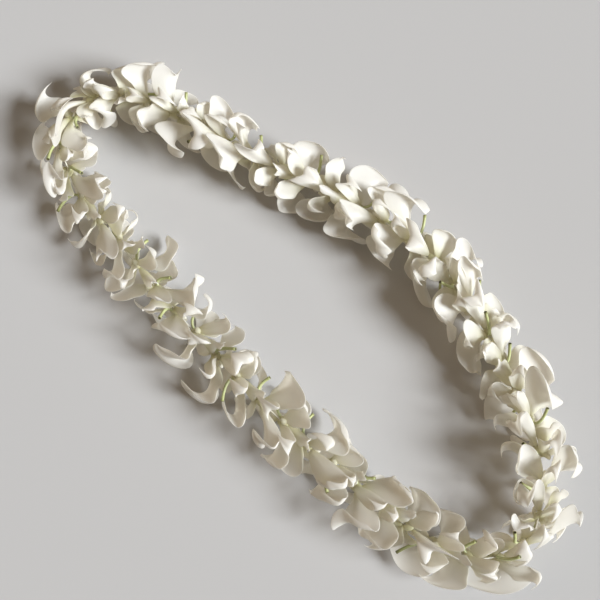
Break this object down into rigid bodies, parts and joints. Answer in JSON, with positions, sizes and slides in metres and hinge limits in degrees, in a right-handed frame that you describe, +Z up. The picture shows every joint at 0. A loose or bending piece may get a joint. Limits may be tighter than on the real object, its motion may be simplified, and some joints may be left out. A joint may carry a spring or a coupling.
{
  "type": "flower lei",
  "caption": "Closed single-strand garland of white orchid blooms threaded one behind the other on a cotton string, lying flat in a long loop; worn round the neck.",
  "frame": {"origin": "on the surface that the lei lies on, under the middle of its box", "axes": "+X along the loop's long axis, +Y across the loop, +Z up from the surface"},
  "size_m": [0.4518, 0.2064, 0.049],
  "materials": {
    "petals": "soft matt petal, thin and slightly see-through, white with pale green at the base and a green stalk",
    "string": "twisted undyed cotton"
  },
  "bodies": {
    "root": {"bloom_01": "petals", "bloom_02": "petals", "bloom_03": "petals", "bloom_04": "petals", "bloom_05": "petals", "bloom_06": "petals", "bloom_07": "petals", "bloom_08": "petals", "bloom_09": "petals", "bloom_10": "petals", "bloom_11": "petals", "bloom_12": "petals", "bloom_13": "petals", "bloom_14": "petals", "bloom_15": "petals", "bloom_16": "petals", "bloom_17": "petals", "bloom_18": "petals", "bloom_19": "petals", "bloom_20": "petals", "bloom_21": "petals", "bloom_22": "petals", "bloom_23": "petals", "bloom_24": "petals", "bloom_25": "petals", "bloom_26": "petals", "bloom_27": "petals", "bloom_28": "petals", "bloom_29": "petals", "bloom_30": "petals", "bloom_31": "petals", "bloom_32": "petals", "bloom_33": "petals", "bloom_34": "petals", "bloom_35": "petals", "bloom_36": "petals", "bloom_37": "petals", "bloom_38": "petals", "bloom_39": "petals", "bloom_40": "petals", "bloom_41": "petals", "bloom_42": "petals", "bloom_43": "petals", "bloom_44": "petals", "bloom_45": "petals", "bloom_46": "petals", "string": "string"}
  },
  "joints": []
}
